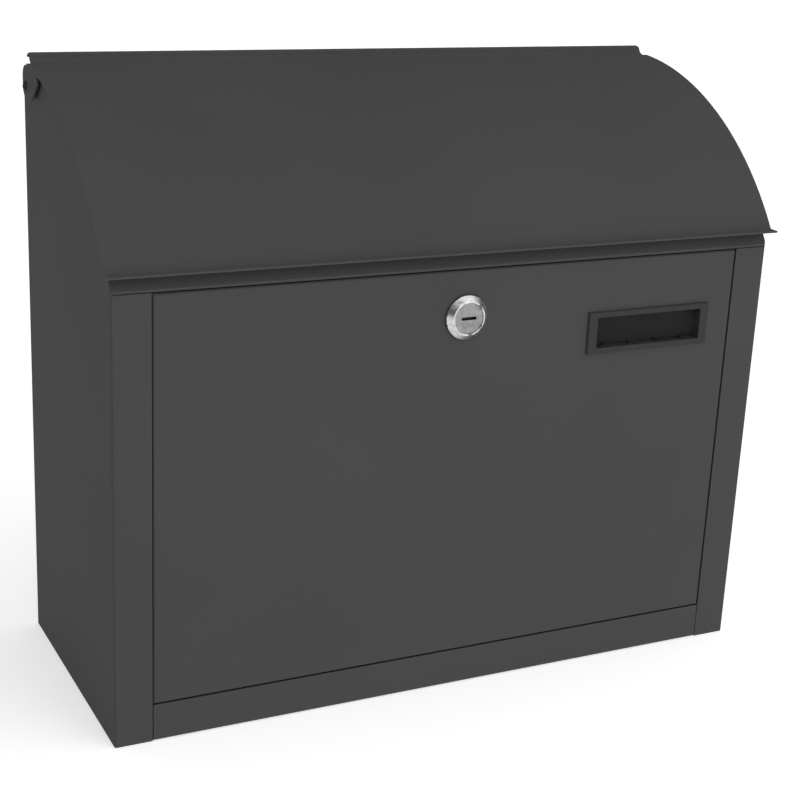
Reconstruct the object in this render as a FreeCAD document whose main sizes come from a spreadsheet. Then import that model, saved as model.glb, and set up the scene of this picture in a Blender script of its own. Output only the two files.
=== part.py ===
import FreeCAD, Part
import math
import os

import Sketcher

# Wall mounted mailbox in powder-coated sheet steel, in millimetres.
#
# Shapes are drawn in "box" places: x = 0 on the middle plane, y = 0 on the wall (the front is at -y)
# and z = 0 under the base. Each sub-part's Placement then puts the origin at the centre of the four
# wall holes, so the finished frame is +X to the right, +Y into the wall and +Z up.

SIZES = [
    # casing
    ("width", 370.0), ("depth", 151.0), ("steel", 1.0),
    ("front_height", 234.4), ("crown_rise", 82.0), ("crown_setback", 4.1),
    ("front_flange", 19.5), ("rear_flange", 14.0), ("corner_bend", 0.2),
    ("rear_clip_depth", 14.0), ("rear_clip_drop", 3.9), ("back_panel_drop", 4.4),
    ("hole_spacing_across", 290.0), ("hole_spacing_up", 200.0), ("hole_centre_height", 160.0),
    ("wall_hole_radius", 3.0), ("overcut", 5.0),
    # base tray
    ("strip_height", 20.0), ("strip_side_gap", 0.5), ("tray_wall", 12.0), ("weld_gap", 0.3),
    # door
    ("door_gap", 0.5), ("door_return", 11.5), ("door_bend", 1.3), ("stop_gap", 0.5), ("stop_drop", 10.0),
    # top rail
    ("rail_lap", 1.5), ("rail_reach", 33.0), ("rail_hem", 8.0), ("rail_fold", 0.2), ("stop_bend", 0.5),
    ("hem_bend", 0.5),
    # lid
    ("lid_steel", 1.0), ("lid_gap", 3.1), ("lid_overhang", 2.75),
    ("lip_rise", 8.3), ("lip_reach", 5.4), ("lip_bend", 0.6),
    ("neck_setback", 16.6), ("ridge_flare", 5.0), ("ridge_flare_turn", 64.0),
    ("ridge_roll", 2.6), ("ridge_roll_turn", 158.0), ("ridge_round", 1.6),
    ("ear_front", 37.0), ("ear_foot", 25.0), ("ear_slope", 10.0), ("ear_round", 6.0), ("ear_crown", 4.8),
    # lid pivots
    ("pivot_setback", 14.5), ("pivot_drop", 8.1), ("rivet_radius", 2.0),
    ("rivet_head_radius", 3.1), ("rivet_head_height", 1.5), ("rivet_tail_radius", 3.2),
    ("rivet_tail_height", 1.2), ("washer_radius", 5.0), ("side_play", 0.15),
    ("running_clearance", 0.05), ("fixed_clearance", 0.02),
    # door hinges
    ("hinge_setback", 5.0), ("hinge_rise", 4.9), ("hinge_pin_radius", 2.0), ("hinge_head_radius", 2.8),
    ("hinge_head_height", 1.2), ("hinge_tail_radius", 2.5),
    ("bracket_steel", 1.2), ("bracket_height", 20.0), ("bracket_arm", 12.0), ("bracket_foot", 14.0),
    # lock
    ("lock_drop", 24.4), ("bezel_radius", 11.75), ("bezel_edge", 0.9), ("bezel_height", 3.8),
    ("rim_radius", 8.9), ("plug_face_radius", 8.0), ("plug_face_drop", 0.5), ("plug_face_depth", 2.2),
    ("plug_radius", 6.0), ("thread_radius", 9.0), ("lock_hole_clearance", 0.15), ("lock_play", 0.1),
    ("cam_gap", 0.6), ("cam_steel", 1.6), ("cam_hub", 8.0), ("cam_tip", 6.0), ("cam_reach", 22.0),
    ("tail_square", 6.0), ("tail_proud", 0.1), ("lock_washer_radius", 12.6), ("lock_washer_steel", 0.8),
    ("nut_across", 24.0), ("nut_height", 3.4),
    ("key_slot_width", 8.4), ("key_slot_height", 1.6), ("key_slot_depth", 9.0),
    ("wafer_steel", 0.7), ("wafer_pitch", 1.3), ("wafer_length", 11.2), ("wafer_height", 4.0),
    ("wafer_clearance", 0.05), ("first_wafer", 3.2), ("wafer_window_width", 8.8),
    ("wafer_window_height", 2.0),
    ("screw_radius", 2.0), ("screw_head_radius", 3.8), ("screw_head_height", 2.2),
    ("screw_length", 6.0), ("screw_slot", 1.0),
    # nameplate
    ("plate_inset", 53.3), ("plate_drop", 39.5), ("plate_width", 76.4), ("plate_height", 23.0),
    ("plate_proud", 1.6), ("plate_bevel", 1.0), ("window_width", 65.6), ("window_height", 16.7),
    ("plate_sleeve", 2.0), ("sleeve_depth", 3.6), ("sleeve_clearance", 0.1), ("pane_thickness", 1.0),
    ("pane_recess", 1.4), ("backing_thickness", 1.0), ("tab_width", 4.5), ("tab_height", 1.3),
    # lid buffers
    ("buffer_angle", 47.0), ("buffer_spacing", 240.0), ("buffer_radius", 5.0), ("buffer_clearance", 0.25),
]
WAFERS = 5
TABS = 4

doc = FreeCAD.newDocument("Mailbox")
sheet = doc.addObject("Spreadsheet::Sheet", "Sizes")
for row, (alias, number) in enumerate(SIZES, start=1):
    sheet.set(f"A{row}", alias)
    sheet.set(f"B{row}", str(number))
    sheet.setAlias(f"B{row}", alias)
doc.recompute()

# Sizes worked out from the sheet, as expressions.
HALF = "(Sizes.width / 2)"
CROWN_TOP = "(Sizes.front_height + Sizes.crown_rise)"
CROWN_REACH = "(Sizes.depth - Sizes.crown_setback)"
CROWN_RADIUS = f"(({CROWN_REACH}^2 + Sizes.crown_rise^2) / (2 * Sizes.crown_rise))"
CROWN_CENTRE = f"({CROWN_TOP} - {CROWN_RADIUS})"
STRIP_HALF = f"({HALF} - Sizes.front_flange - Sizes.strip_side_gap)"
CORNER_OUTER = "(Sizes.corner_bend + Sizes.steel)"
DOOR_HALF = f"({HALF} - Sizes.front_flange - Sizes.door_gap)"
DOOR_BOTTOM = "(Sizes.strip_height + Sizes.door_gap)"
RAIL_UNDER = "(Sizes.front_height - Sizes.rail_lap)"
DOOR_TOP = f"({RAIL_UNDER} - Sizes.door_gap)"
STOP_BACK = "(Sizes.door_return + Sizes.stop_gap + Sizes.steel)"
PIVOT_UP = f"({CROWN_TOP} - Sizes.pivot_drop)"
HINGE_UP = f"({DOOR_BOTTOM} + Sizes.hinge_rise)"
HINGE_BEHIND = "(-Sizes.depth + Sizes.hinge_setback)"
LOCK_UP = f"({DOOR_TOP} - Sizes.lock_drop)"
PLATE_ALONG = f"({DOOR_HALF} - Sizes.plate_inset)"
PLATE_UP = f"({DOOR_TOP} - Sizes.plate_drop)"
CAM_FRONT = f"({STOP_BACK} + Sizes.cam_gap)"
LID_EDGE = f"({HALF} + Sizes.lid_overhang)"

FRONTWARD = -90.0     # turn about Z that points a piece's own +X to the front
SIDES = {"left": -1, "right": 1}
SAME_PLACE = 0.01     # places closer than this are taken as one


def size(expression):
    """The number that an expression on the sheet gives."""
    return float(sheet.evalExpression(expression))


def place(piece, along="0", behind="0", up="0", turn=0.0):
    """Bind a sub-part's Placement: its own origin stands at this box place."""
    piece.Placement = FreeCAD.Placement(FreeCAD.Vector(), FreeCAD.Rotation(FreeCAD.Vector(0, 0, 1), turn))
    piece.setExpression("Placement.Base.x", along)
    piece.setExpression("Placement.Base.y", behind)
    piece.setExpression("Placement.Base.z", f"{up} - Sizes.hole_centre_height")
    return piece


def new_body(label, **where):
    body = doc.addObject("PartDesign::Body", label)
    body.Label = label
    return place(body, **where)


def new_sketch(body, role, name, offset):
    """A sketch on one of the body's own origin planes, moved along the plane's normal by offset."""
    sketch = body.newObject("Sketcher::SketchObject", f"{body.Label}_{name}")
    origin_plane = next(item for item in body.Origin.OriginFeatures if item.Role == role)
    sketch.AttachmentSupport = [(origin_plane, "")]
    sketch.MapMode = "FlatFace"
    sketch.setExpression("AttachmentOffset.Base.z", offset)
    return sketch


def fix_point(sketch, side, point, corner):
    """Tie one end of a side to its bound x and y."""
    for kind, expression in zip(("DistanceX", "DistanceY"), corner):
        index = sketch.addConstraint(Sketcher.Constraint(kind, -1, 1, side, point, size(expression)))
        sketch.setExpression(f"Constraints[{index}]", expression)


def arc_between(start, end, radius, turn):
    """The short arc from start to end, whose centre is on the left (turn 1) or right (turn -1)."""
    chord = end - start
    height = math.sqrt(max(radius ** 2 - chord.Length ** 2 / 4, 0.0))
    normal = FreeCAD.Vector(-chord.y, chord.x, 0).normalize()
    centre = (start + end) / 2 + normal * height * turn
    first, last = (start, end) if turn > 0 else (end, start)
    angles = [math.atan2(point.y - centre.y, point.x - centre.x) for point in (first, last)]
    if angles[1] < angles[0]:
        angles[1] += 2 * math.pi
    circle = Part.Circle(centre, FreeCAD.Vector(0, 0, 1), radius)
    return Part.ArcOfCircle(circle, *angles)


def add_outline(sketch, corners, arcs=None):
    """One closed outline; arcs gives a side's radius and turn, and the other sides are straight."""
    arcs = arcs or {}
    points = [FreeCAD.Vector(size(x), size(y), 0) for x, y in corners]
    ends = []
    for number, start in enumerate(points):
        end = points[(number + 1) % len(points)]
        if number in arcs:
            radius, turn = arcs[number]
            side = sketch.addGeometry(arc_between(start, end, size(radius), turn), False)
            index = sketch.addConstraint(Sketcher.Constraint("Radius", side, size(radius)))
            sketch.setExpression(f"Constraints[{index}]", radius)
            ends.append((side, 1, 2) if turn > 0 else (side, 2, 1))
        else:
            side = sketch.addGeometry(Part.LineSegment(start, end), False)
            ends.append((side, 1, 2))
    for number, (side, first, last) in enumerate(ends):
        following, its_first, _ = ends[(number + 1) % len(ends)]
        sketch.addConstraint(Sketcher.Constraint("Coincident", side, last, following, its_first))
        fix_point(sketch, side, first, corners[number])


def add_circle(sketch, along, up, radius):
    centre = FreeCAD.Vector(size(along), size(up), 0)
    circle = Part.Circle(centre, FreeCAD.Vector(0, 0, 1), size(radius))
    side = sketch.addGeometry(circle, False)
    index = sketch.addConstraint(Sketcher.Constraint("Radius", side, size(radius)))
    sketch.setExpression(f"Constraints[{index}]", radius)
    fix_point(sketch, side, 3, (along, up))


def box_corners(low_x, high_x, low_y, high_y):
    return [(low_x, low_y), (high_x, low_y), (high_x, high_y), (low_x, high_y)]


def pad(body, sketch, length, backwards=False):
    """Thicken a sketch along its plane's normal, or the other way."""
    feature = body.newObject("PartDesign::Pad", f"{sketch.Name}_pad")
    feature.Profile = sketch
    feature.Reversed = backwards
    feature.setExpression("Length", length)
    doc.recompute()
    return feature


def cut(body, sketch, reach):
    """Pocket a sketch by reach to both sides of its plane together, and see that it did cut."""
    before = body.Shape.Volume
    feature = body.newObject("PartDesign::Pocket", f"{sketch.Name}_cut")
    feature.Profile = sketch
    feature.Midplane = True
    feature.setExpression("Length", reach)
    doc.recompute()
    if not body.Shape.Volume < before:
        raise RuntimeError(f"{feature.Name} cuts nothing")
    return feature


def spin(body, sketch):
    """Turn a half section about the body's own X axis."""
    feature = body.newObject("PartDesign::Revolution", f"{sketch.Name}_turned")
    feature.Profile = sketch
    feature.ReferenceAxis = (sketch, ["H_Axis"])
    feature.Angle = 360.0
    doc.recompute()
    return feature


def round_edges(body, base, name, radius, matches):
    """Fillet the straight edges whose middle point passes the test."""
    names = []
    for number, edge in enumerate(base.Shape.Edges, start=1):
        middle = edge.valueAt((edge.FirstParameter + edge.LastParameter) / 2)
        if isinstance(edge.Curve, Part.Line) and matches(middle):
            names.append(f"Edge{number}")
    if not names:
        raise RuntimeError(f"{body.Label} has no edge for {name}")
    feature = body.newObject("PartDesign::Fillet", f"{body.Label}_{name}")
    feature.Base = (base, names)
    feature.setExpression("Radius", radius)
    doc.recompute()
    return feature


def near(first, second):
    return abs(first - second) < SAME_PLACE


def turned_piece(label, section, arcs=None, **where):
    """A piece made on a lathe, from its half section as (along the axis, radius) corners."""
    body = new_body(label, **where)
    sketch = new_sketch(body, "XY_Plane", "section", "0")
    add_outline(sketch, section, arcs)
    spin(body, sketch)
    return body


# Strips of sheet folded along X: the section is walked along its outer face, with the sheet's
# thickness on the right-hand side of the walk.

class Strip:
    def __init__(self, start, heading, thickness):
        self.place = FreeCAD.Vector(0, *start)
        self.heading = heading
        self.thickness = thickness
        self.outer = []
        self.inner = []

    def ahead(self, heading=None):
        angle = math.radians(self.heading if heading is None else heading)
        return FreeCAD.Vector(0, math.cos(angle), math.sin(angle))

    def inside(self, heading=None):
        """The matching point on the inner face."""
        direction = self.ahead(heading)
        return FreeCAD.Vector(0, direction.z, -direction.y) * self.thickness

    def straight(self, length):
        end = self.place + self.ahead() * length
        self.outer.append(Part.LineSegment(self.place, end).toShape())
        self.inner.append(Part.LineSegment(self.place + self.inside(), end + self.inside()).toShape())
        self.place = end
        return self

    def bend(self, radius, turn):
        """Bend by turn degrees, left if positive; radius is the outer face's."""
        side = math.copysign(1.0, turn)
        to_centre = self.ahead(self.heading + side * 90.0) * radius
        centre = self.place + to_centre
        middle_heading = self.heading + turn / 2
        end_heading = self.heading + turn

        def on_arc(heading, reach):
            return centre - self.ahead(heading + side * 90.0) * reach

        inner_radius = radius + side * self.thickness
        for edges, reach in ((self.outer, radius), (self.inner, inner_radius)):
            points = [on_arc(heading, reach) for heading in (self.heading, middle_heading, end_heading)]
            edges.append(Part.Arc(*points).toShape())
        self.place = on_arc(end_heading, radius)
        self.heading = end_heading
        return self

    def solid(self, half_width):
        outer_start = self.outer[0].valueAt(self.outer[0].FirstParameter)
        inner_start = self.inner[0].valueAt(self.inner[0].FirstParameter)
        outer_end = self.place
        inner_end = self.place + self.inside()
        ends = [Part.LineSegment(outer_start, inner_start).toShape(),
                Part.LineSegment(outer_end, inner_end).toShape()]
        wire = Part.Wire(Part.__sortEdges__(self.outer + self.inner + ends))
        face = Part.Face(wire)
        face.translate(FreeCAD.Vector(-half_width, 0, 0))
        return face.extrude(FreeCAD.Vector(2 * half_width, 0, 0))


def coded_piece(label, shape):
    """A sub-part whose shape is set here, in box places."""
    piece = doc.addObject("Part::Feature", label)
    piece.Label = label
    piece.Shape = shape
    return place(piece)


def across_cylinder(behind, up, radius, low_x, high_x):
    """A cylinder that lies along X."""
    start = FreeCAD.Vector(low_x, behind, up)
    return Part.makeCylinder(radius, high_x - low_x, start, FreeCAD.Vector(1, 0, 0))


# Casing

def crown_cut(body):
    """Cut everything above the crown's arc off a side panel, and clip its rear top corner."""
    front = "(Sizes.depth + Sizes.overcut)"
    front_up = f"({CROWN_CENTRE} + sqrt({CROWN_RADIUS}^2 - ({front} - Sizes.crown_setback)^2))"
    clip_behind = "(-Sizes.rear_clip_depth)"
    clip_up = f"({CROWN_TOP} - Sizes.rear_clip_drop)"
    arc_end_up = (f"({CROWN_CENTRE} + sqrt({CROWN_RADIUS}^2"
                  f" - (Sizes.rear_clip_depth - Sizes.crown_setback)^2))")
    above = f"({CROWN_TOP} + Sizes.overcut)"
    sketch = new_sketch(body, "YZ_Plane", "crown", "0")
    corners = [(f"-{front}", front_up), (clip_behind, arc_end_up), (clip_behind, clip_up),
               ("Sizes.overcut", clip_up), ("Sizes.overcut", above), (f"-{front}", above)]
    add_outline(sketch, corners, arcs={0: (CROWN_RADIUS, -1)})
    cut(body, sketch, "4 * Sizes.width")


def side_panel(name, side):
    """A channel with a front flange beside the door and a rear flange welded to the back panel."""
    body = new_body(f"side_panel_{name}")
    outer = f"({side} * {HALF})"
    web = f"({side} * ({HALF} - Sizes.steel))"
    front_end = f"({side} * ({HALF} - Sizes.front_flange))"
    rear_end = f"({side} * ({HALF} - Sizes.rear_flange))"
    front = "(-Sizes.depth)"
    front_inner = "(-Sizes.depth + Sizes.steel)"
    rear = "(-Sizes.steel)"
    rear_inner = "(-2 * Sizes.steel)"
    channel = new_sketch(body, "XY_Plane", "channel", "0")
    add_outline(channel, [(outer, front), (outer, rear), (rear_end, rear), (rear_end, rear_inner),
                          (web, rear_inner), (web, front_inner), (front_end, front_inner),
                          (front_end, front)])
    base = pad(body, channel, CROWN_TOP)
    outer_x = size(outer)
    web_x = size(web)
    inner_y = (size(front_inner), size(rear_inner))
    base = round_edges(body, base, "outer_bend", CORNER_OUTER,
                       lambda at: near(at.x, outer_x) and near(at.y, size(front)))
    round_edges(body, base, "inner_bend", "Sizes.corner_bend",
                lambda at: near(at.x, web_x) and any(near(at.y, y) for y in inner_y))
    crown_cut(body)
    flange_top = new_sketch(body, "XZ_Plane", "flange_top", "Sizes.depth")
    beyond = f"({side} * ({HALF} - Sizes.front_flange - Sizes.overcut))"
    add_outline(flange_top, box_corners(web, beyond, RAIL_UNDER, f"({CROWN_TOP} + Sizes.overcut)"))
    cut(body, flange_top, f"(2 * {CORNER_OUTER} + 2 * Sizes.steel)")
    pivot = new_sketch(body, "YZ_Plane", "pivot_hole", "0")
    add_circle(pivot, "(-Sizes.pivot_setback)", PIVOT_UP, "(Sizes.rivet_radius + Sizes.running_clearance)")
    cut(body, pivot, "4 * Sizes.width")


def back_panel():
    """A flat panel on the side panels' rear flanges, with four holes for the wall screws."""
    body = new_body("back_panel")
    plate = new_sketch(body, "XZ_Plane", "plate", "0")
    top = f"({CROWN_TOP} - Sizes.back_panel_drop)"
    add_outline(plate, box_corners(f"-{HALF}", HALF, "0", top))
    pad(body, plate, "Sizes.steel")
    holes = new_sketch(body, "XZ_Plane", "wall_holes", "0")
    for across in (-1, 1):
        for upward in (-1, 1):
            along = f"({across} * Sizes.hole_spacing_across / 2)"
            up = f"(Sizes.hole_centre_height + {upward} * Sizes.hole_spacing_up / 2)"
            add_circle(holes, along, up, "Sizes.wall_hole_radius")
    cut(body, holes, "4 * Sizes.steel")


def base_tray():
    """The floor, with its front strip under the door and a low welded wall on the other sides."""
    body = new_body("base_tray")
    inner = f"({HALF} - Sizes.steel)"
    behind_strip = "(-Sizes.depth + Sizes.steel)"
    rear = "(-2 * Sizes.steel)"
    floor = new_sketch(body, "XY_Plane", "floor", "0")
    shoulder = f"({inner} - {CORNER_OUTER})"
    shoulder_front = f"({behind_strip} + {CORNER_OUTER})"
    shoulder_rear = f"({rear} - {CORNER_OUTER})"
    add_outline(floor, [(f"-{shoulder}", behind_strip), (shoulder, behind_strip), (inner, shoulder_front),
                        (inner, shoulder_rear), (shoulder, rear), (f"-{shoulder}", rear),
                        (f"-{inner}", shoulder_rear), (f"-{inner}", shoulder_front)])
    pad(body, floor, "Sizes.steel")
    strip = new_sketch(body, "XZ_Plane", "strip", "Sizes.depth - Sizes.steel")
    add_outline(strip, box_corners(f"-{STRIP_HALF}", STRIP_HALF, "0", "Sizes.strip_height"))
    base = pad(body, strip, "Sizes.steel")
    front_y = -size("Sizes.depth")
    inner_y = size(behind_strip)
    base = round_edges(body, base, "outer_bend", CORNER_OUTER,
                       lambda at: near(at.y, front_y) and near(at.z, 0))
    steel = size("Sizes.steel")
    round_edges(body, base, "inner_bend", "Sizes.corner_bend",
                lambda at: near(at.y, inner_y) and near(at.z, steel) and near(at.x, 0))
    rear_wall = new_sketch(body, "XZ_Plane", "rear_wall", "Sizes.steel")
    rear_half = f"({HALF} - Sizes.rear_flange - Sizes.weld_gap)"
    add_outline(rear_wall, box_corners(f"-{rear_half}", rear_half, "0", "Sizes.tray_wall"))
    pad(body, rear_wall, "Sizes.steel")
    side_walls = new_sketch(body, "XY_Plane", "side_walls", "0")
    for side in SIDES.values():
        outer = f"({side} * ({HALF} - Sizes.steel))"
        face = f"({side} * ({HALF} - 2 * Sizes.steel))"
        add_outline(side_walls, box_corners(outer, face, shoulder_front, shoulder_rear))
    pad(body, side_walls, "Sizes.tray_wall")


def top_rail():
    """The strip over the door: a stop behind the door, a fold at the front, the crown and a rear hem."""
    fold = size("(Sizes.rail_fold + Sizes.steel)")
    radius = size(CROWN_RADIUS)
    setback = size("Sizes.crown_setback")
    centre_up = size(CROWN_CENTRE)
    under = size(RAIL_UNDER)
    fold_reach = math.sqrt((radius - fold) ** 2 - (under + fold - centre_up) ** 2)
    front_slope = math.degrees(math.asin(fold_reach / (radius - fold)))
    rear_reach = size("Sizes.depth - Sizes.rail_reach") - setback
    rear_slope = math.degrees(math.asin(rear_reach / radius))
    stop_front = -size("Sizes.depth - Sizes.door_return - Sizes.stop_gap")
    stop_bend = size("Sizes.stop_bend")
    drop = size("Sizes.stop_drop")
    strip = Strip((stop_front, under - drop), 90.0, size("Sizes.steel"))
    strip.straight(drop - stop_bend)
    strip.bend(stop_bend, 90.0)
    strip.straight(stop_front - stop_bend + setback + fold_reach)
    strip.bend(fold, front_slope - 180.0)
    strip.bend(radius, rear_slope - front_slope)
    strip.bend(size("(Sizes.hem_bend + Sizes.steel)"), -90.0 - rear_slope)
    strip.straight(size("Sizes.rail_hem"))
    coded_piece("top_rail", strip.solid(size(f"({HALF} - Sizes.steel)")))


def lid_buffers():
    """Two rubber buttons on the rail that the closed lid lies over."""
    buttons = []
    for name, side in SIDES.items():
        button = doc.addObject("Part::Cylinder", f"buffer_{name}")
        button.setExpression("Radius", "Sizes.buffer_radius")
        button.setExpression("Height", "Sizes.lid_gap - Sizes.buffer_clearance")
        tilt = size("Sizes.buffer_angle")
        button.Placement.Rotation = FreeCAD.Rotation(FreeCAD.Vector(1, 0, 0), tilt)
        button.setExpression("Placement.Base.x", f"{side} * Sizes.buffer_spacing / 2")
        lean = "(Sizes.buffer_angle * 1 deg)"
        button.setExpression("Placement.Base.y", f"-Sizes.crown_setback - {CROWN_RADIUS} * sin{lean}")
        button.setExpression("Placement.Base.z", f"{CROWN_CENTRE} + {CROWN_RADIUS} * cos{lean}")
        buttons.append(button)
    group = doc.addObject("Part::Compound", "lid_buffers")
    group.Label = "lid_buffers"
    group.Links = buttons
    place(group)


# Lid

def ear_plate(low_x, high_x, lid_radius):
    """The tab at a lid end that takes the pivot, rounded behind and kept under the lid's outer face."""
    setback = size("Sizes.crown_setback")
    centre_up = size(CROWN_CENTRE)
    pivot_y = -size("Sizes.pivot_setback")
    pivot_up = size(PIVOT_UP)
    round_radius = size("Sizes.ear_round")
    crown_up = pivot_up + size("Sizes.ear_crown")
    foot_up = pivot_up - round_radius
    above = size(CROWN_TOP) + size("Sizes.lid_gap")
    front = -size("Sizes.ear_front")
    neck = -size("Sizes.neck_setback")
    slope_up = foot_up + size("Sizes.ear_slope")
    foot = -size("Sizes.ear_foot")
    rear = pivot_y + round_radius
    corners = [(front, above), (front, slope_up), (foot, foot_up), (pivot_y, foot_up), (rear, pivot_up),
               (rear, crown_up), (pivot_y, crown_up + round_radius), (neck, above)]
    points = [FreeCAD.Vector(low_x, y, z) for y, z in corners]
    plate = Part.Face(Part.makePolygon(points + points[:1])).extrude(FreeCAD.Vector(high_x - low_x, 0, 0))
    for up in (pivot_up, crown_up):
        plate = plate.fuse(across_cylinder(pivot_y, up, round_radius, low_x, high_x))
    return plate.common(across_cylinder(-setback, centre_up, lid_radius, low_x, high_x))


def ridge_corner(side, half, depth, top):
    """The waste outside the rounded top corner of the ridge's end."""
    rounding = size("Sizes.ridge_round")
    block_x = half - rounding if side > 0 else -half
    block = Part.makeBox(rounding, depth, rounding, FreeCAD.Vector(block_x, -depth, top - rounding))
    middle = FreeCAD.Vector(side * (half - rounding), -depth, top - rounding)
    return block.cut(Part.makeCylinder(rounding, depth, middle, FreeCAD.Vector(0, 1, 0)))


def lid():
    """One sheet: a flared front lip, the curved cover, and a flared and rolled edge along the wall."""
    steel = size("Sizes.lid_steel")
    setback = size("Sizes.crown_setback")
    centre_up = size(CROWN_CENTRE)
    radius = size(f"({CROWN_RADIUS} + Sizes.lid_gap + Sizes.lid_steel)")
    bend = size("Sizes.lip_bend")
    lip_up = size("(Sizes.front_height + Sizes.lip_rise)")
    lip_slope = math.degrees(math.acos((lip_up - centre_up + bend) / (radius + bend)))
    lip_end = setback + (radius + bend) * math.sin(math.radians(lip_slope))
    reach = size("Sizes.lip_reach")
    neck_slope = math.degrees(math.asin(size("Sizes.neck_setback - Sizes.crown_setback") / radius))
    strip = Strip((-lip_end - reach, lip_up), 0.0, steel)
    strip.straight(reach)
    strip.bend(bend, lip_slope)
    strip.bend(radius, neck_slope - lip_slope)
    strip.bend(size("Sizes.ridge_flare"), size("Sizes.ridge_flare_turn"))
    strip.bend(size("Sizes.ridge_roll"), -size("Sizes.ridge_roll_turn"))
    edge = size(LID_EDGE)
    half = size(HALF)
    neck = -size("Sizes.neck_setback")
    shape = strip.solid(edge)
    top = shape.BoundBox.ZMax
    pivot = (-size("Sizes.pivot_setback"), size(PIVOT_UP))
    hole = size("(Sizes.rivet_radius + Sizes.fixed_clearance)")
    overhang = edge - half
    for side in SIDES.values():
        low_x = half if side > 0 else -edge
        offcut = Part.makeBox(overhang, -neck, 2 * radius, FreeCAD.Vector(low_x, neck, centre_up))
        shape = shape.cut(offcut).cut(ridge_corner(side, half, -neck, top))
        plate_x = edge - steel if side > 0 else -edge
        shape = shape.fuse(ear_plate(plate_x, plate_x + steel, radius))
        shape = shape.cut(across_cylinder(*pivot, hole, plate_x - steel, plate_x + 2 * steel))
    coded_piece("lid", shape.removeSplitter())


def lid_pivot(name, side):
    """A shouldered rivet from the ear through the side panel, and the washer between the two."""
    turn = 0.0 if side > 0 else 180.0
    inside = "(-Sizes.lid_overhang - Sizes.steel - Sizes.side_play)"
    tail = f"({inside} - Sizes.rivet_tail_height)"
    dome = "((Sizes.rivet_head_radius^2 + Sizes.rivet_head_height^2) / (2 * Sizes.rivet_head_height))"
    section = [(tail, "0"), ("Sizes.rivet_head_height", "0"), ("0", "Sizes.rivet_head_radius"),
               ("0", "Sizes.rivet_radius"), (inside, "Sizes.rivet_radius"),
               (inside, "Sizes.rivet_tail_radius"), (tail, "Sizes.rivet_tail_radius")]
    turned_piece(f"lid_pivot_rivet_{name}", section, arcs={1: (dome, 1)}, along=f"{side} * {LID_EDGE}",
                 behind="-Sizes.pivot_setback", up=PIVOT_UP, turn=turn)
    bore = "(Sizes.rivet_radius + Sizes.running_clearance)"
    thickness = "(Sizes.lid_overhang - Sizes.lid_steel - 2 * Sizes.side_play)"
    turned_piece(f"lid_pivot_washer_{name}", box_corners("0", thickness, bore, "Sizes.washer_radius"),
                 along=f"{side} * ({HALF} + Sizes.side_play)", behind="-Sizes.pivot_setback",
                 up=PIVOT_UP, turn=turn)


# Door

def door():
    """A shallow pan: the face with its edges folded back, holed for lock, nameplate and hinge pins."""
    body = new_body("door")
    face = new_sketch(body, "XZ_Plane", "face", "Sizes.depth - Sizes.door_return")
    add_outline(face, box_corners(f"-{DOOR_HALF}", DOOR_HALF, DOOR_BOTTOM, DOOR_TOP))
    base = pad(body, face, "Sizes.door_return")
    front_y = -size("Sizes.depth")
    round_edges(body, base, "front_bend", "Sizes.door_bend", lambda at: near(at.y, front_y))
    hollow = new_sketch(body, "XZ_Plane", "hollow", "Sizes.depth - Sizes.door_return")
    inner = f"({DOOR_HALF} - Sizes.steel)"
    add_outline(hollow, box_corners(f"-{inner}", inner, f"({DOOR_BOTTOM} + Sizes.steel)",
                                    f"({DOOR_TOP} - Sizes.steel)"))
    cut(body, hollow, "2 * (Sizes.door_return - Sizes.steel)")
    openings = new_sketch(body, "XZ_Plane", "openings", "Sizes.depth")
    add_circle(openings, "0", LOCK_UP, "(Sizes.thread_radius + Sizes.lock_hole_clearance)")
    half_wide = "(Sizes.window_width / 2 + Sizes.plate_sleeve + Sizes.sleeve_clearance)"
    half_high = "(Sizes.window_height / 2 + Sizes.plate_sleeve / 2 + Sizes.sleeve_clearance)"
    add_outline(openings, box_corners(f"({PLATE_ALONG} - {half_wide})", f"({PLATE_ALONG} + {half_wide})",
                                      f"({PLATE_UP} - {half_high})", f"({PLATE_UP} + {half_high})"))
    cut(body, openings, "4 * Sizes.steel")
    pins = new_sketch(body, "YZ_Plane", "pin_holes", "0")
    add_circle(pins, HINGE_BEHIND, HINGE_UP, "(Sizes.hinge_pin_radius + Sizes.running_clearance)")
    cut(body, pins, "4 * Sizes.width")


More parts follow.
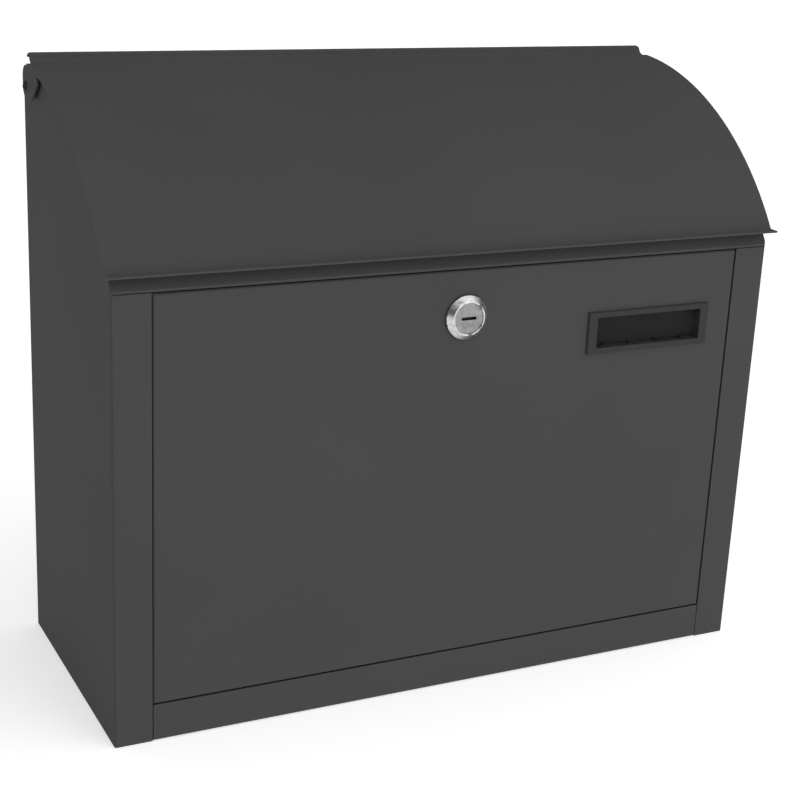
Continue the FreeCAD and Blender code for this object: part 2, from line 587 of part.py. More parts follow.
def door_hinge(name, side):
    """An angle bracket welded behind the front flange, and the riveted pin that the door turns on."""
    body = new_body(f"door_hinge_bracket_{name}")
    arm = f"({side} * ({HALF} - Sizes.front_flange))"
    arm_back = f"({side} * ({HALF} - Sizes.front_flange + Sizes.bracket_steel))"
    foot_end = f"({side} * ({HALF} - Sizes.front_flange + Sizes.bracket_foot))"
    front = "(-Sizes.depth + Sizes.steel)"
    foot_back = f"({front} + Sizes.bracket_steel)"
    arm_end = f"({front} + Sizes.bracket_arm)"
    angle = new_sketch(body, "XY_Plane", "angle", f"{HINGE_UP} - Sizes.bracket_height / 2")
    add_outline(angle, [(arm, front), (foot_end, front), (foot_end, foot_back), (arm_back, foot_back),
                        (arm_back, arm_end), (arm, arm_end)])
    pad(body, angle, "Sizes.bracket_height")
    hole = new_sketch(body, "YZ_Plane", "pin_hole", "0")
    add_circle(hole, HINGE_BEHIND, HINGE_UP, "(Sizes.hinge_pin_radius + Sizes.fixed_clearance)")
    cut(body, hole, "4 * Sizes.width")
    turn = 0.0 if side > 0 else 180.0
    head_end = "(-Sizes.door_gap - Sizes.steel - Sizes.side_play)"
    head_start = f"({head_end} - Sizes.hinge_head_height)"
    back = "Sizes.bracket_steel"
    tail = f"({back} + Sizes.hinge_head_height)"
    section = [(head_start, "0"), (tail, "0"), (tail, "Sizes.hinge_tail_radius"),
               (back, "Sizes.hinge_tail_radius"), (back, "Sizes.hinge_pin_radius"),
               (head_end, "Sizes.hinge_pin_radius"), (head_end, "Sizes.hinge_head_radius"),
               (head_start, "Sizes.hinge_head_radius")]
    turned_piece(f"door_hinge_pin_{name}", section, along=arm, behind=HINGE_BEHIND, up=HINGE_UP, turn=turn)


# Lock. Its pieces are drawn along their own X axis, which is 0 on the door's face and runs forward.

AT_LOCK = {"behind": "-Sizes.depth", "up": LOCK_UP, "turn": FRONTWARD}
SEAT = "(Sizes.bezel_height - Sizes.plug_face_drop - Sizes.plug_face_depth - Sizes.lock_play)"


def lock_housing():
    """The barrel with its conical bezel, put in from the front."""
    back = f"(-{CAM_FRONT} + Sizes.cam_gap / 2)"
    bore = "(Sizes.plug_radius + Sizes.running_clearance)"
    recess = "(Sizes.plug_face_radius + Sizes.lock_play)"
    section = [(back, bore), (SEAT, bore), (SEAT, recess), ("Sizes.bezel_height", recess),
               ("Sizes.bezel_height", "Sizes.rim_radius"), ("Sizes.bezel_edge", "Sizes.bezel_radius"),
               ("0", "Sizes.bezel_radius"), ("0", "Sizes.thread_radius"), (back, "Sizes.thread_radius")]
    turned_piece("lock_housing", section, **AT_LOCK)


def lock_plug():
    """The part that turns with the key: a face, a slotted core and a square tail for the cam."""
    shoulder = f"({SEAT} + Sizes.lock_play)"
    face = "(Sizes.bezel_height - Sizes.plug_face_drop)"
    core_end = f"(-{CAM_FRONT} + Sizes.cam_gap / 4)"
    section = [(core_end, "0"), (face, "0"), (face, "Sizes.plug_face_radius"),
               (shoulder, "Sizes.plug_face_radius"), (shoulder, "Sizes.plug_radius"),
               (core_end, "Sizes.plug_radius")]
    body = turned_piece("lock_plug", section, **AT_LOCK)
    tail = new_sketch(body, "YZ_Plane", "tail", core_end)
    half_square = "(Sizes.tail_square / 2)"
    add_outline(tail, box_corners(f"-{half_square}", half_square, f"-{half_square}", half_square))
    pad(body, tail, "Sizes.cam_gap / 4 + Sizes.cam_steel + Sizes.tail_proud", backwards=True)
    key_slot = new_sketch(body, "YZ_Plane", "key_slot", face)
    add_outline(key_slot, box_corners("-Sizes.key_slot_width / 2", "Sizes.key_slot_width / 2",
                                      "-Sizes.key_slot_height / 2", "Sizes.key_slot_height / 2"))
    cut(body, key_slot, "2 * Sizes.key_slot_depth")
    wafer_slots = new_sketch(body, "XY_Plane", "wafer_slots", "0")
    for number in range(WAFERS):
        middle = f"({face} - Sizes.first_wafer - {number} * Sizes.wafer_pitch)"
        half_slot = "(Sizes.wafer_steel / 2 + Sizes.wafer_clearance)"
        add_outline(wafer_slots, box_corners(f"({middle} - {half_slot})", f"({middle} + {half_slot})",
                                             "-Sizes.plug_radius", "Sizes.plug_radius"))
    cut(body, wafer_slots, "Sizes.wafer_height + 2 * Sizes.wafer_clearance")
    screw_hole = new_sketch(body, "YZ_Plane", "screw_hole", f"-{CAM_FRONT} - Sizes.cam_steel")
    add_circle(screw_hole, "0", "0", "(Sizes.screw_radius + Sizes.fixed_clearance)")
    cut(body, screw_hole, "2 * Sizes.screw_length")


def lock_wafers():
    """Sprung plates in the plug's slots, each with a window for the key."""
    face = "(Sizes.bezel_height - Sizes.plug_face_drop)"
    plates = []
    for number in range(WAFERS):
        middle = f"({face} - Sizes.first_wafer - {number} * Sizes.wafer_pitch)"
        blocks = []
        for kind, wide, high in (("plate", "Sizes.wafer_length", "Sizes.wafer_height"),
                                 ("window", "Sizes.wafer_window_width", "Sizes.wafer_window_height")):
            block = doc.addObject("Part::Box", f"wafer_{kind}_{number}")
            block.setExpression("Length", "Sizes.wafer_steel")
            block.setExpression("Width", wide)
            block.setExpression("Height", high)
            block.setExpression("Placement.Base.x", f"{middle} - Sizes.wafer_steel / 2")
            block.setExpression("Placement.Base.y", f"-{wide} / 2")
            block.setExpression("Placement.Base.z", f"-{high} / 2")
            blocks.append(block)
        plate = doc.addObject("Part::Cut", f"wafer_{number}")
        plate.Base, plate.Tool = blocks
        plates.append(plate)
    group = doc.addObject("Part::Compound", "lock_wafers")
    group.Label = "lock_wafers"
    group.Links = plates
    place(group, **AT_LOCK)


def lock_fixings():
    """The toothed washer and the hexagon nut that hold the housing in the door."""
    bore = "(Sizes.thread_radius + Sizes.fixed_clearance)"
    washer_back = "(-Sizes.steel - Sizes.lock_washer_steel)"
    turned_piece("lock_washer", box_corners(washer_back, "-Sizes.steel", bore, "Sizes.lock_washer_radius"),
                 **AT_LOCK)
    nut = new_body("lock_nut", **AT_LOCK)
    hexagon = new_sketch(nut, "YZ_Plane", "hexagon", washer_back)
    corner = "(Sizes.nut_across / sqrt(3))"
    add_outline(hexagon, [(f"{corner} * cos({60 * step} deg)", f"{corner} * sin({60 * step} deg)")
                          for step in range(6)])
    pad(nut, hexagon, "Sizes.nut_height", backwards=True)
    thread = new_sketch(nut, "YZ_Plane", "thread", washer_back)
    add_circle(thread, "0", "0", bore)
    cut(nut, thread, "4 * Sizes.nut_height")


def lock_cam():
    """The flat arm on the plug's tail; it lies sideways when unlocked and turns up to lock."""
    body = new_body("lock_cam", **AT_LOCK)
    arm = new_sketch(body, "YZ_Plane", "arm", f"-{CAM_FRONT}")
    hub = "Sizes.cam_hub"
    tip = "Sizes.cam_tip"
    far = "(-Sizes.cam_reach)"
    end = "(-Sizes.cam_reach - Sizes.cam_tip)"
    add_outline(arm, [("0", f"-{hub}"), (hub, "0"), ("0", hub), (far, tip), (end, "0"), (far, f"-{tip}")],
                arcs={0: (hub, 1), 1: (hub, 1), 3: (tip, 1), 4: (tip, 1)})
    pad(body, arm, "Sizes.cam_steel", backwards=True)
    square = new_sketch(body, "YZ_Plane", "square", f"-{CAM_FRONT}")
    half = "(Sizes.tail_square / 2 + Sizes.fixed_clearance)"
    add_outline(square, box_corners(f"-{half}", half, f"-{half}", half))
    cut(body, square, "4 * Sizes.cam_steel")


def cam_screw():
    """The slotted screw in the plug's tail that holds the cam."""
    seat = f"(-{CAM_FRONT} - Sizes.cam_steel - Sizes.tail_proud)"
    head = f"({seat} - Sizes.screw_head_height)"
    end = f"({seat} + Sizes.screw_length - Sizes.screw_slot)"
    section = [(head, "0"), (end, "0"), (end, "Sizes.screw_radius"), (seat, "Sizes.screw_radius"),
               (seat, "Sizes.screw_head_radius"), (head, "Sizes.screw_head_radius")]
    body = turned_piece("cam_screw", section, **AT_LOCK)
    slot = new_sketch(body, "YZ_Plane", "slot", head)
    reach = "(2 * Sizes.screw_head_radius)"
    add_outline(slot, box_corners(f"-{reach}", reach, "-Sizes.screw_slot / 2", "Sizes.screw_slot / 2"))
    cut(body, slot, "2 * Sizes.screw_slot")


# Nameplate. Its pieces are drawn about the middle of the window.

AT_PLATE = {"along": PLATE_ALONG, "up": PLATE_UP}


def plate_box(wide, high):
    """Corners of a rectangle about the window's middle."""
    return box_corners(f"(-{wide} / 2)", f"({wide} / 2)", f"(-{high} / 2)", f"({high} / 2)")


def nameplate_bezel():
    """A bevelled frame on the door's face, with a sleeve that snaps through the door."""
    body = new_body("nameplate_bezel", **AT_PLATE)
    frame = new_sketch(body, "XZ_Plane", "frame", "Sizes.depth")
    add_outline(frame, plate_box("Sizes.plate_width", "Sizes.plate_height"))
    base = pad(body, frame, "Sizes.plate_proud")
    front_y = -size("Sizes.depth + Sizes.plate_proud")
    round_edges(body, base, "front_edge", "Sizes.plate_bevel", lambda at: near(at.y, front_y))
    sleeve = new_sketch(body, "XZ_Plane", "sleeve", "Sizes.depth - Sizes.sleeve_depth")
    add_outline(sleeve, plate_box("(Sizes.window_width + 2 * Sizes.plate_sleeve)",
                                  "(Sizes.window_height + Sizes.plate_sleeve)"))
    pad(body, sleeve, "Sizes.sleeve_depth")
    window = new_sketch(body, "XZ_Plane", "window", "Sizes.depth")
    add_outline(window, plate_box("Sizes.window_width", "Sizes.window_height"))
    cut(body, window, "4 * Sizes.sleeve_depth")


def nameplate_window():
    """The clear pane inside the sleeve."""
    body = new_body("nameplate_window", **AT_PLATE)
    pane = new_sketch(body, "XZ_Plane", "pane",
                      "Sizes.depth + Sizes.plate_proud - Sizes.pane_recess - Sizes.pane_thickness")
    add_outline(pane, plate_box("(Sizes.window_width - 2 * Sizes.sleeve_clearance)",
                                "(Sizes.window_height - 2 * Sizes.sleeve_clearance)"))
    pad(body, pane, "Sizes.pane_thickness")


def nameplate_backing():
    """The dark plate behind the sleeve, with tabs along its foot that a name card stands on."""
    body = new_body("nameplate_backing", **AT_PLATE)
    plate = new_sketch(body, "XZ_Plane", "plate",
                       "Sizes.depth - Sizes.sleeve_depth - Sizes.backing_thickness")
    add_outline(plate, plate_box("(Sizes.window_width + 2 * Sizes.plate_sleeve)",
                                 "(Sizes.window_height + Sizes.plate_sleeve)"))
    pad(body, plate, "Sizes.backing_thickness")
    tabs = new_sketch(body, "XZ_Plane", "tabs", "Sizes.depth - Sizes.sleeve_depth")
    foot = "(-Sizes.window_height / 2 + Sizes.sleeve_clearance)"
    for number in range(TABS):
        middle = f"(Sizes.window_width * {number + 0.5} / {TABS} - Sizes.window_width / 2)"
        low_x = f"({middle} - Sizes.tab_width / 2)"
        high_x = f"({middle} + Sizes.tab_width / 2)"
        add_outline(tabs, box_corners(low_x, high_x, foot, f"({foot} + Sizes.tab_height)"))
    room = "Sizes.sleeve_depth + Sizes.plate_proud - Sizes.pane_recess - Sizes.pane_thickness"
    pad(body, tabs, f"{room} - Sizes.sleeve_clearance")


back_panel()
base_tray()
top_rail()
lid_buffers()
lid()
door()
for side_name, side_sign in SIDES.items():
    side_panel(side_name, side_sign)
    lid_pivot(side_name, side_sign)
    door_hinge(side_name, side_sign)
lock_housing()
lock_plug()
lock_wafers()
lock_fixings()
lock_cam()
cam_screw()
nameplate_bezel()
nameplate_window()
nameplate_backing()
doc.recompute()

NODES = [
    "back_panel", "side_panel_left", "side_panel_right", "base_tray", "top_rail", "lid_buffers",
    "lid", "lid_pivot_rivet_left", "lid_pivot_rivet_right", "lid_pivot_washer_left",
    "lid_pivot_washer_right", "door", "door_hinge_bracket_left", "door_hinge_bracket_right",
    "door_hinge_pin_left", "door_hinge_pin_right", "lock_housing", "lock_plug", "lock_wafers",
    "lock_washer", "lock_nut", "lock_cam", "cam_screw", "nameplate_bezel", "nameplate_window",
    "nameplate_backing",
]

for item in doc.Objects:
    if "Invalid" in item.State or "Error" in item.State:
        raise RuntimeError(f"{item.Name} failed: {item.State}")
for node in NODES:
    shape = doc.getObjectsByLabel(node)[0].Shape
    if shape.isNull() or not shape.isValid():
        raise RuntimeError(f"{node} has no valid shape")

os.makedirs("parts", exist_ok=True)
for node in NODES:
    doc.getObjectsByLabel(node)[0].Shape.exportStep(f"parts/{node}.step")
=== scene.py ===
from math import cos, pi, radians, sin

import bmesh
import bpy
from mathutils import Matrix, Vector


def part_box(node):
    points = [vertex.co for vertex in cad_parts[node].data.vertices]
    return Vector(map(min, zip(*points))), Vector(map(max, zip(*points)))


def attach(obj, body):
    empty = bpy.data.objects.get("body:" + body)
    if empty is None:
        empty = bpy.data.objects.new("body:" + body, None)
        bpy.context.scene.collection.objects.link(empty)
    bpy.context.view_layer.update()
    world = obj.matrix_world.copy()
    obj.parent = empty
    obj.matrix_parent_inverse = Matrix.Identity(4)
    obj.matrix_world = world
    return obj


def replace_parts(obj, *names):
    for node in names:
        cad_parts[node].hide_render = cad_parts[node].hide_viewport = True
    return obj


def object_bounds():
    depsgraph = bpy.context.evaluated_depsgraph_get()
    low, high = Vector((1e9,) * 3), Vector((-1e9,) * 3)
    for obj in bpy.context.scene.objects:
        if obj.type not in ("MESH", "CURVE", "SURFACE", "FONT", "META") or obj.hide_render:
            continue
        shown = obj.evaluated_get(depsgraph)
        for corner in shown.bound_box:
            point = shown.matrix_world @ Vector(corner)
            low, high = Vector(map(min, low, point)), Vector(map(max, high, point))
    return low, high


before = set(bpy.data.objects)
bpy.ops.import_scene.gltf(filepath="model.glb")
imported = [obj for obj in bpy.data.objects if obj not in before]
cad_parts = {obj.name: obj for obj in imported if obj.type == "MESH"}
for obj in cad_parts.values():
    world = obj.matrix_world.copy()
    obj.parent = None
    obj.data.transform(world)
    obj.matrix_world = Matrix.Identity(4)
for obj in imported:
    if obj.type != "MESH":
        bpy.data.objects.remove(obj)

cad_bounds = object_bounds()

# ---- Sheet steel casing -------------------------------------------------------------------------
# Side panels, back panel, base tray and the rail over the door are 1 mm steel, cut, folded and spot
# welded, then powder coated together. The coat is fine and matt, with a faint orange peel.


class Signal:
    """A socket in a shader; sums, differences and products of signals add their own Math nodes."""

    def __init__(self, socket):
        self.socket = socket

    def math(self, operation, first, second):
        node = self.socket.id_data.nodes.new("ShaderNodeMath")
        node.operation = operation
        for slot, value in zip(node.inputs, (first, second)):
            feed(slot, value)
        return Signal(node.outputs[0])

    def __add__(self, other):
        return self.math("ADD", self, other)

    def __sub__(self, other):
        return self.math("SUBTRACT", self, other)

    def __mul__(self, other):
        return self.math("MULTIPLY", self, other)


def feed(socket, value):
    """Link a signal to a socket, or set the socket's own value."""
    if isinstance(value, Signal):
        socket.id_data.links.new(value.socket, socket)
    else:
        socket.default_value = value


class Finish:
    """A material being made: one Principled shader, its constants, and the nodes that feed it."""

    def __init__(self, name, **constants):
        self.material = bpy.data.materials.new(name)
        self.material.use_nodes = True
        self.nodes = self.material.node_tree.nodes
        self.shader = self.nodes["Principled BSDF"]
        self.set(**constants)

    def set(self, **sockets):
        for name, value in sockets.items():
            feed(self.shader.inputs[name.replace("_", " ")], value)

    def node(self, kind, settings=None, output=0, **sockets):
        """Add a node: its settings first, then its sockets, by name or by number as in_1."""
        node = self.nodes.new(kind)
        for name, value in (settings or {}).items():
            setattr(node, name, value)
        for name, value in sockets.items():
            key = int(name[3:]) if name.startswith("in_") else name.replace("_", " ")
            feed(node.inputs[key], value)
        return Signal(node.outputs[output])

    def place(self, middle=(0.0, 0.0, 0.0), scale=(1.0, 1.0, 1.0)):
        """Object coordinates in metres, measured from the middle and then scaled."""
        at = self.node("ShaderNodeTexCoord", output="Object")
        from_middle = self.node("ShaderNodeVectorMath", {"operation": "SUBTRACT"}, in_0=at, in_1=middle)
        return self.node("ShaderNodeVectorMath", {"operation": "MULTIPLY"}, in_0=from_middle, in_1=scale)

    def noise(self, scale, detail=2.0, roughness=0.5, vector=None):
        where = vector or self.place()
        return self.node("ShaderNodeTexNoise", Vector=where, Scale=scale, Detail=detail,
                         Roughness=roughness)

    def spread(self, value, low, high, out_low=0.0, out_high=1.0):
        """Map low..high to out_low..out_high, held at the ends."""
        return self.node("ShaderNodeMapRange", in_0=value, in_1=low, in_2=high, in_3=out_low,
                         in_4=out_high)

    def mix(self, factor, first, second):
        return self.node("ShaderNodeMix", {"data_type": "RGBA"}, output=2, in_0=factor, in_6=first,
                         in_7=second)

    def edges(self, radius):
        """1 on corners and cut edges, 0 on open faces."""
        rounded = self.node("ShaderNodeBevel", {"samples": 4}, Radius=radius)
        flat = self.node("ShaderNodeNewGeometry", output="Normal")
        match = self.node("ShaderNodeVectorMath", {"operation": "DOT_PRODUCT"}, output="Value",
                          in_0=rounded, in_1=flat)
        return self.spread(match, 0.995, 0.90)

    def bump(self, height, distance, strength):
        self.set(Normal=self.node("ShaderNodeBump", Height=height, Distance=distance,
                                  Strength=strength))


def grey(level, cool=0.0):
    """A near-neutral linear colour; cool moves it towards blue."""
    return (level * (1 - cool), level, level * (1 + cool), 1.0)


def powder_coat(name, level, peel_depth):
    """Fine matt powder coat: orange peel, a fine grain, and corners painted paler as a highlight."""
    coat = Finish(name, IOR=1.36, Specular_IOR_Level=0.2)
    peel = coat.noise(900.0, detail=1.5, roughness=0.55)
    grain = coat.noise(5200.0, detail=1.0)
    cloud = coat.noise(9.0)
    edge = coat.edges(0.0006)
    tone = coat.mix(coat.spread(cloud, 0.3, 0.7), grey(level * 0.96, 0.008), grey(level * 1.04, 0.008))
    tone = coat.mix(coat.spread(grain, 0.62, 0.74) * 0.12, tone, grey(level * 1.5))
    # Corners and cut edges are mixed paler here: a painted highlight along the edges.
    coat.set(Base_Color=coat.mix(edge * 0.12, tone, grey(level * 1.7)))
    coat.set(Roughness=coat.spread(grain, 0.35, 0.65, 0.66, 0.78) - edge * 0.08)
    coat.bump(peel * 0.75 + grain * 0.25, peel_depth, 0.5)
    return coat.material


BODY_GREY = 0.0575
PEEL_DEPTH = 0.00006
COAT_EDGE = 0.00025
body_coat = powder_coat("anthracite_powder_coat", BODY_GREY, PEEL_DEPTH)


def finished(shape, name, material, body, sharpest=32.0):
    """Turn a bmesh into a smooth-shaded piece at the origin that rides on a body."""
    bmesh.ops.recalc_face_normals(shape, faces=shape.faces)
    for face in shape.faces:
        face.smooth = True
    for edge in shape.edges:
        edge.smooth = len(edge.link_faces) == 2 and edge.calc_face_angle() < radians(sharpest)
    mesh = bpy.data.meshes.new(name)
    shape.to_mesh(mesh)
    shape.free()
    mesh.materials.append(material)
    piece = bpy.data.objects.new(name, mesh)
    bpy.context.scene.collection.objects.link(piece)
    even = piece.modifiers.new("even_normals", "WEIGHTED_NORMAL")
    even.keep_sharp = True
    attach(piece, body)
    return piece


MERGE_REACH = 1e-6
FLAT_TURN = radians(0.5)
SHARP_TURN = radians(40.0)
EDGE_STEPS = 3


def dressed(node, body, material, slot, edge_width):
    """Stand in for a CAD piece with a merged copy, its sharp edges rounded where small ones leave room."""
    shape = bmesh.new()
    shape.from_mesh(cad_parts[node].data)
    bmesh.ops.remove_doubles(shape, verts=shape.verts, dist=MERGE_REACH)
    bmesh.ops.dissolve_limit(shape, angle_limit=FLAT_TURN, verts=shape.verts, edges=shape.edges)
    sharp = [edge for edge in shape.edges if edge.is_manifold and edge.calc_face_angle() > SHARP_TURN]
    bmesh.ops.bevel(shape, geom=sharp, offset=edge_width, offset_type="OFFSET", affect="EDGES",
                    segments=EDGE_STEPS, profile=0.5, material=-1, clamp_overlap=True)
    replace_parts(finished(shape, f"{node}_{slot}", material, body), node)


for casing_node in ("back_panel", "side_panel_left", "side_panel_right", "base_tray", "top_rail"):
    dressed(casing_node, "box", body_coat, "powder_coat", COAT_EDGE)

# ---- Lid ----------------------------------------------------------------------------------------
# One sheet of the same steel, rolled to the crown, with a flared lip in front, a flared and rolled
# edge along the wall and an ear at each end. It is coated the same colour as the casing.

dressed("lid", "lid", body_coat, "powder_coat", COAT_EDGE)

# ---- Lid pivots ---------------------------------------------------------------------------------
# Two shouldered steel rivets, turned and coated black, that hold the lid's ears to the side panels
# over black nylon washers. Each has a low dome outside and a flat closed end inside.

BLACK_COAT = 0.03
rivet_coat = powder_coat("black_rivet_coat", BLACK_COAT, PEEL_DEPTH / 2)


def moulded(name, level, roughness, grain_scale, depth, sheen=0.5):
    """Moulded plastic or rubber: a fine spark-eroded grain, faint scuffs, and painted highlights on edges.
    """
    skin = Finish(name, IOR=1.45, Specular_IOR_Level=sheen)
    grain = skin.noise(grain_scale, detail=3.0)
    scuff = skin.noise(260.0, detail=4.0, roughness=0.7)
    worn = skin.spread(scuff, 0.58, 0.75)
    edge = skin.edges(0.0004)
    # Scuffs and a painted highlight along the edges both mix the colour paler.
    skin.set(Base_Color=skin.mix(worn * 0.18 + edge * 0.12, grey(level), grey(level * 1.9)))
    skin.set(Roughness=skin.spread(grain, 0.3, 0.7, roughness - 0.06, roughness + 0.06) - worn * 0.08)
    skin.bump(grain, depth, 0.5)
    return skin.material


NYLON_GREY = 0.03
nylon = moulded("black_nylon", NYLON_GREY, 0.45, 1500.0, 0.00004)


def turned(section, middle, axis, steps):
    """Spin a closed half section of (along, radius) points about an axis through the middle."""
    shape = bmesh.new()
    across = Vector((0.0, 0.0, 1.0))
    along = Vector(axis)
    middle = Vector(middle)
    corners = [shape.verts.new(middle + along * far + across * radius) for far, radius in section]
    edges = [shape.edges.new((corners[number - 1], corners[number])) for number in range(len(corners))]
    bmesh.ops.spin(shape, geom=corners + edges, cent=middle, axis=along, angle=2 * pi, steps=steps,
                   use_merge=True, use_duplicate=False)
    bmesh.ops.remove_doubles(shape, verts=shape.verts, dist=1e-7)
    return shape


CORNER_STEPS = 4


def rounded(section, radius):
    """Round every corner of a section with an arc of up to that radius."""
    points = []
    for number, corner in enumerate(section):
        corner = Vector(corner)
        before = Vector(section[number - 1]) - corner
        after = Vector(section[(number + 1) % len(section)]) - corner
        reach = min(radius, before.length / 2.2, after.length / 2.2)
        start = corner + before.normalized() * reach
        end = corner + after.normalized() * reach
        for step in range(CORNER_STEPS + 1):
            share = step / CORNER_STEPS
            point = start * (1 - share) ** 2 + corner * 2 * share * (1 - share) + end * share ** 2
            points.append(tuple(point))
    return points


RIVET_HEAD_RADIUS = 0.0031
RIVET_HEAD_HEIGHT = 0.0015
RIVET_SHANK_RADIUS = 0.0020
RIVET_TAIL_HEIGHT = 0.0012
WASHER_BORE = 0.00205
RIVET_ROUNDING = 0.0002
WASHER_ROUNDING = 0.00025
DOME_STEPS = 8
for side_name, outward in (("left", -1.0), ("right", 1.0)):
    rivet_node = f"lid_pivot_rivet_{side_name}"
    rivet_low, rivet_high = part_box(rivet_node)
    middle = (rivet_low + rivet_high) / 2
    length = rivet_high.x - rivet_low.x
    dome_radius = (RIVET_HEAD_RADIUS ** 2 + RIVET_HEAD_HEIGHT ** 2) / (2 * RIVET_HEAD_HEIGHT)
    head_seat = length / 2 - RIVET_HEAD_HEIGHT
    tail_radius = (rivet_high.z - rivet_low.z) / 2
    tail_seat = RIVET_TAIL_HEIGHT - length / 2
    dome = []
    for step in range(1, DOME_STEPS + 1):
        radius = RIVET_HEAD_RADIUS * step / DOME_STEPS
        rise = (dome_radius ** 2 - radius ** 2) ** 0.5 - dome_radius
        dome.append((length / 2 + rise, radius))
    body_section = rounded([(head_seat, RIVET_HEAD_RADIUS), (head_seat, RIVET_SHANK_RADIUS),
                            (tail_seat, RIVET_SHANK_RADIUS), (tail_seat, tail_radius),
                            (-length / 2, tail_radius)], RIVET_ROUNDING)
    profile = [(length / 2, 0.0)] + dome + body_section
    profile.append((-length / 2, 0.0))
    rivet_shape = turned(profile, middle, (outward, 0.0, 0.0), steps=48)
    rivet = finished(rivet_shape, f"lid_rivet_{side_name}", rivet_coat, "lid")
    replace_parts(rivet, rivet_node)
    washer_node = f"lid_pivot_washer_{side_name}"
    washer_low, washer_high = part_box(washer_node)
    half = (washer_high.x - washer_low.x) / 2
    rim = (washer_high.z - washer_low.z) / 2
    ring = rounded([(half, WASHER_BORE), (half, rim), (-half, rim), (-half, WASHER_BORE)], WASHER_ROUNDING)
    washer_shape = turned(ring, (washer_low + washer_high) / 2, (outward, 0.0, 0.0), steps=64)
    washer = finished(washer_shape, f"lid_washer_{side_name}", nylon, "lid")
    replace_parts(washer, washer_node)

# ---- Lid buffers --------------------------------------------------------------------------------
# Two soft rubber buttons with rounded edges, glued to the rail. The shut lid rests on them, and they
# stop it from ringing.

RUBBER_GREY = 0.02
BUFFER_EDGE = 0.0006
rubber = moulded("black_rubber", RUBBER_GREY, 0.75, 900.0, 0.00008)
dressed("lid_buffers", "box", rubber, "buffer_rubber", BUFFER_EDGE)

# ---- Door ---------------------------------------------------------------------------------------
# A shallow steel pan with its edges folded back, coated with the casing, and punched for the lock,
# the nameplate and the hinge pins.

dressed("door", "door", body_coat, "powder_coat", COAT_EDGE)

# ---- Door hinges --------------------------------------------------------------------------------
# Folded brackets welded behind the front flanges and coated with the casing, and the zinc-plated
# headed pins that the door turns on.


def zinc_plate(name):
    """Bright zinc: crystalline clouding, fine rolling scratches and a faint blue cast."""
    plate = Finish(name, Metallic=1.0)
    crystals = plate.node("ShaderNodeTexVoronoi", output="Distance", Vector=plate.place(), Scale=520.0)
    scratch = plate.noise(90.0, detail=6.0, roughness=0.7, vector=plate.place(scale=(1.0, 22.0, 22.0)))
    shade = plate.spread(crystals, 0.0, 0.8)
    plate.set(Base_Color=plate.mix(shade, grey(0.46, 0.03), grey(0.62, 0.015)))
    plate.set(Roughness=plate.spread(scratch, 0.3, 0.7, 0.24, 0.42))
    plate.bump(scratch * 0.6 + crystals * 0.4, 0.00002, 0.4)
    return plate.material


zinc = zinc_plate("bright_zinc_plate")
BRACKET_EDGE = 0.0002
PIN_RADIUS = 0.0020
PIN_END_HEIGHT = 0.0012
PIN_TAIL_RADIUS = 0.0025
PIN_ROUNDING = 0.0003
for side_name, outward in (("left", -1.0), ("right", 1.0)):
    dressed(f"door_hinge_bracket_{side_name}", "box", body_coat, "powder_coat", BRACKET_EDGE)
    pin_node = f"door_hinge_pin_{side_name}"
    pin_low, pin_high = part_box(pin_node)
    half = (pin_high.x - pin_low.x) / 2
    head = (pin_high.z - pin_low.z) / 2
    body_section = rounded([(-half, head), (PIN_END_HEIGHT - half, head),
                            (PIN_END_HEIGHT - half, PIN_RADIUS), (half - PIN_END_HEIGHT, PIN_RADIUS),
                            (half - PIN_END_HEIGHT, PIN_TAIL_RADIUS), (half, PIN_TAIL_RADIUS)],
                           PIN_ROUNDING)
    profile = [(-half, 0.0)] + body_section + [(half, 0.0)]
    pin_shape = turned(profile, (pin_low + pin_high) / 2, (outward, 0.0, 0.0), steps=48)
    pin = finished(pin_shape, f"door_pin_{side_name}", zinc, "box")
    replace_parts(pin, pin_node)

# ---- Lock ---------------------------------------------------------------------------------------
# A cam lock: a die-cast barrel with a conical satin-chrome bezel, a plug that turns with the key,
# brass wafers in the plug, a toothed washer and nut behind the door, and the cam on its screw.

housing_low, housing_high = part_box("lock_housing")
BEZEL_RADIUS = (housing_high.x - housing_low.x) / 2
LOCK_MIDDLE = Vector(((housing_low.x + housing_high.x) / 2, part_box("door")[0].y,
                      (housing_low.z + housing_high.z) / 2))
BEZEL_PROUD = LOCK_MIDDLE.y - housing_low.y
FORWARD = (0.0, -1.0, 0.0)


def chrome(name, low, high, roughness, handled):
    """Satin chrome: lathe rings about the lock's axis, clouding, and dark smudges from handling."""
    metal = Finish(name, Metallic=1.0)
    at = metal.place(middle=tuple(LOCK_MIDDLE))
    flat = metal.node("ShaderNodeVectorMath", {"operation": "MULTIPLY"}, in_0=at, in_1=(1.0, 0.0, 1.0))
    radius = metal.node("ShaderNodeVectorMath", {"operation": "LENGTH"}, output="Value", in_0=flat)
    rings = metal.node("ShaderNodeTexNoise", {"noise_dimensions": "1D"}, W=radius, Scale=5200.0,
                       Detail=3.0, Roughness=0.7)
    cloud = metal.noise(420.0, detail=4.0, roughness=0.65)
    smudge = metal.noise(190.0, detail=3.0, roughness=0.6, vector=metal.place(scale=(1.0, 1.0, 1.6)))
    stain = metal.spread(smudge, 0.57, 0.64)
    tone = metal.mix(metal.spread(cloud, 0.3, 0.7), grey(low), grey(high))
    metal.set(Base_Color=metal.mix(stain * handled, tone, grey(low * 0.22)))
    metal.set(Roughness=metal.spread(rings, 0.3, 0.7, roughness - 0.06, roughness + 0.08)
              + stain * handled * 0.15)
    metal.bump(rings * 0.7 + cloud * 0.3, 0.000015, 0.5)
    return metal.material


bezel_chrome = chrome("satin_chrome", 0.44, 0.70, 0.26, 0.85)
plug_chrome = chrome("worn_plug_face", 0.20, 0.34, 0.32, 0.25)

